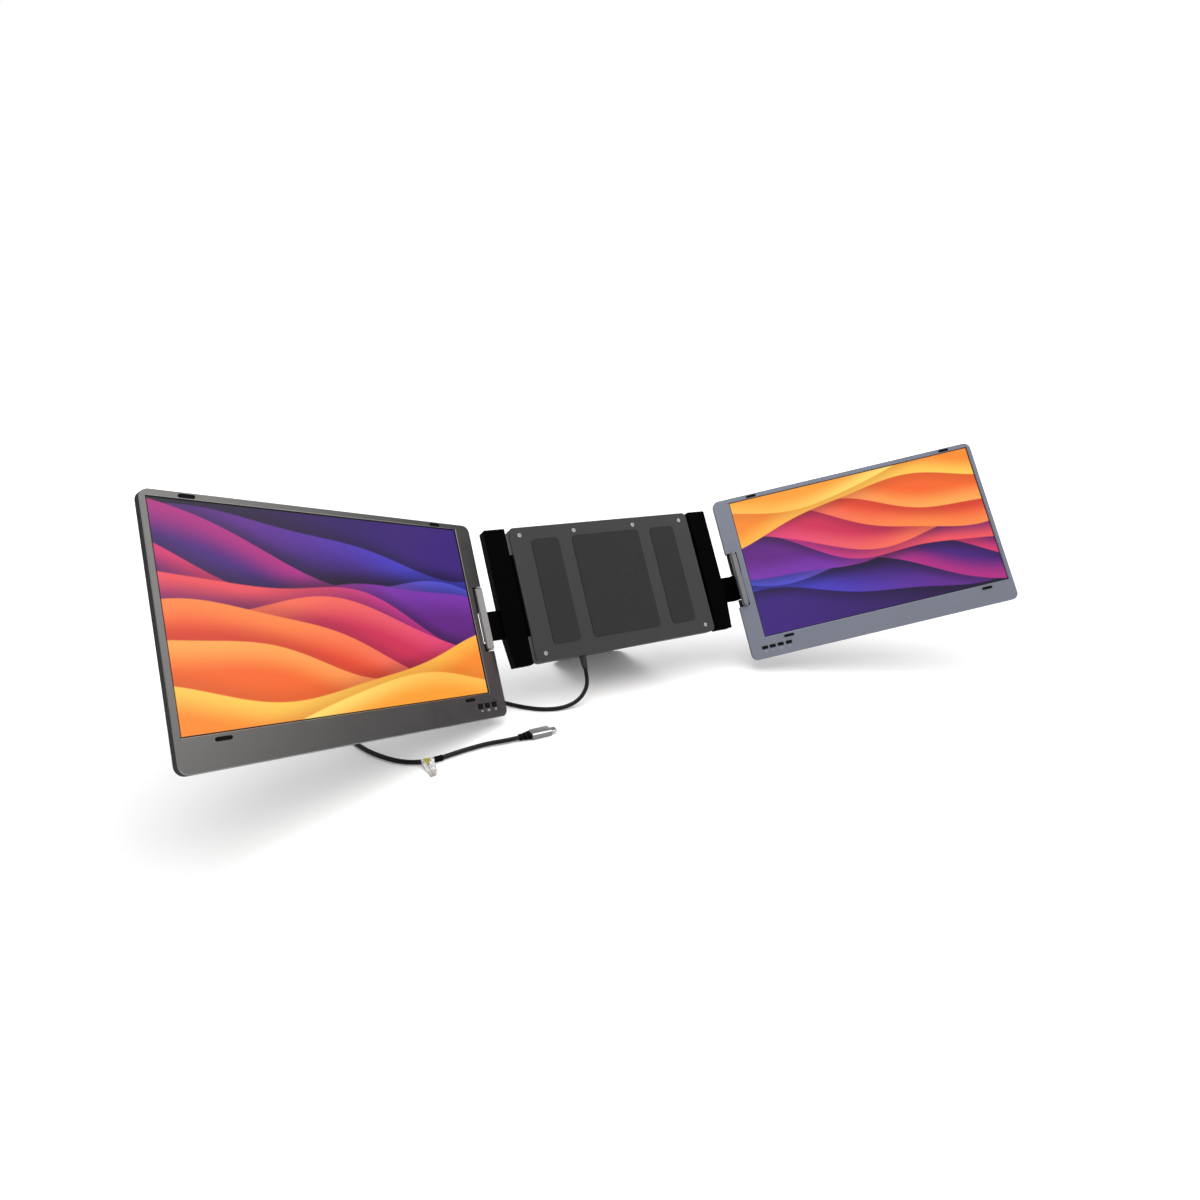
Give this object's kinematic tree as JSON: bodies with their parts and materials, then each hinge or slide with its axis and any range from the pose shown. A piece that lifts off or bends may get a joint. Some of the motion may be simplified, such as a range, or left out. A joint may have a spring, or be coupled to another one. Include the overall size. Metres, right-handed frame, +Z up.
{
  "type": "laptop screen extender",
  "caption": "Two side screens on friction hinges, held by a widening bracket that sticks to the back of a laptop's lid, with a fold-out leg and one captive data lead.",
  "frame": {"origin": "middle of the bracket's front face, which lies on the back of the laptop's lid", "axes": "+X to the user's right, +Y away from the user, +Z up; the bracket leans back 31 degrees with the lid"},
  "size_m": [0.924, 0.2749, 0.2747],
  "materials": {
    "dark_metal": "fine anodised",
    "dark_plastic": "fine matt",
    "arm_black": "satin black",
    "hinge_silver": "satin nickel",
    "contact_steel": "bright",
    "screw_steel": "black oxide",
    "magnet": "nickel plated",
    "silicone": "matt",
    "cord_rubber": "satin",
    "button_plastic": "satin",
    "screen_glass": "glossy, picture behind it",
    "white_plastic": "matt",
    "circuit_board": "solder resist",
    "clear_film": "clear",
    "yellow_film": "printed paper",
    "plug_metal": "brushed anodised"
  },
  "bodies": {
    "bracket": {"bracket_front_plate": "dark_plastic", "bracket_back_cover": "dark_plastic", "grip_mats": "silicone", "lid_magnets": "magnet", "plate_screws": "screw_steel", "wing_guide_screws": "screw_steel", "controller_board": "circuit_board", "kickstand_pin": "screw_steel", "cable_gland": "cord_rubber", "usb_cable": "cord_rubber", "cable_sleeve": "cord_rubber", "cable_tag": "clear_film", "tag_insert": "yellow_film", "plug_relief": "cord_rubber", "plug_shell": "plug_metal", "plug_tip": "contact_steel"},
    "kickstand": {"kickstand": "dark_metal", "kickstand_foot": "silicone"},
    "left_wing": {"left_wing": "dark_plastic", "left_wing_cover": "dark_plastic", "left_arm": "arm_black", "left_arm_screws": "screw_steel", "left_hinge_barrel": "hinge_silver"},
    "left_screen": {"left_bezel": "dark_metal", "left_back_cover": "dark_metal", "left_lcd_glass": "screen_glass", "left_backlight": "white_plastic", "left_driver_board": "circuit_board", "left_button_board": "circuit_board", "left_button_switches": "contact_steel", "left_face_pads": "silicone", "left_hinge_leaf": "hinge_silver", "left_hinge_pin": "contact_steel", "left_leaf_screws": "screw_steel", "left_cover_screws": "screw_steel"},
    "left_button_1": {"left_button_1": "button_plastic"},
    "left_button_2": {"left_button_2": "button_plastic"},
    "left_button_3": {"left_button_3": "button_plastic"},
    "right_wing": {"right_wing": "dark_plastic", "right_wing_cover": "dark_plastic", "right_arm": "arm_black", "right_arm_screws": "screw_steel", "right_hinge_barrel": "hinge_silver"},
    "right_screen": {"right_bezel": "dark_metal", "right_back_cover": "dark_metal", "right_lcd_glass": "screen_glass", "right_backlight": "white_plastic", "right_driver_board": "circuit_board", "right_button_board": "circuit_board", "right_button_switches": "contact_steel", "right_face_pads": "silicone", "right_hinge_leaf": "hinge_silver", "right_hinge_pin": "contact_steel", "right_leaf_screws": "screw_steel", "right_cover_screws": "screw_steel"},
    "right_button_1": {"right_button_1": "button_plastic"},
    "right_button_2": {"right_button_2": "button_plastic"},
    "right_button_3": {"right_button_3": "button_plastic"},
    "right_button_4": {"right_button_4": "button_plastic"}
  },
  "joints": [
    {"name": "kickstand_hinge", "type": "hinge", "parent": "bracket", "child": "kickstand", "pos_m": [0, -0.02259, -0.06226], "axis": [1, 0, 0], "range_deg": [0, 90]},
    {"name": "left_wing_slide", "type": "slide", "parent": "bracket", "child": "left_wing", "axis": [-1, 0, 0], "range_m": [-0.004, 0.02]},
    {"name": "left_screen_hinge", "type": "hinge", "parent": "left_wing", "child": "left_screen", "pos_m": [-0.1684, -0.00965, -0.018], "axis": [0, 0.515, 0.8572], "range_deg": [-28, 152]},
    {"name": "left_button_1_press", "type": "slide", "parent": "left_screen", "child": "left_button_1", "axis": [-0.4695, 0.7568, -0.4548], "range_m": [0, 0.0004], "stiffness_N_per_m": 500},
    {"name": "left_button_2_press", "type": "slide", "parent": "left_screen", "child": "left_button_2", "axis": [-0.4695, 0.7568, -0.4548], "range_m": [0, 0.0004], "stiffness_N_per_m": 500},
    {"name": "left_button_3_press", "type": "slide", "parent": "left_screen", "child": "left_button_3", "axis": [-0.4695, 0.7568, -0.4548], "range_m": [0, 0.0004], "stiffness_N_per_m": 500},
    {"name": "right_wing_slide", "type": "slide", "parent": "bracket", "child": "right_wing", "axis": [1, 0, 0], "range_m": [-0.004, 0.02]},
    {"name": "right_screen_hinge", "type": "hinge", "parent": "right_wing", "child": "right_screen", "pos_m": [0.1684, -0.01882, -0.01249], "axis": [0, -0.515, -0.8572], "range_deg": [-29.3, 150.7]},
    {"name": "right_button_1_press", "type": "slide", "parent": "right_screen", "child": "right_button_1", "axis": [0.4894, 0.7475, -0.4491], "range_m": [0, 0.0004], "stiffness_N_per_m": 500},
    {"name": "right_button_2_press", "type": "slide", "parent": "right_screen", "child": "right_button_2", "axis": [0.4894, 0.7475, -0.4491], "range_m": [0, 0.0004], "stiffness_N_per_m": 500},
    {"name": "right_button_3_press", "type": "slide", "parent": "right_screen", "child": "right_button_3", "axis": [0.4894, 0.7475, -0.4491], "range_m": [0, 0.0004], "stiffness_N_per_m": 500},
    {"name": "right_button_4_press", "type": "slide", "parent": "right_screen", "child": "right_button_4", "axis": [0.4894, 0.7475, -0.4491], "range_m": [0, 0.0004], "stiffness_N_per_m": 500}
  ]
}
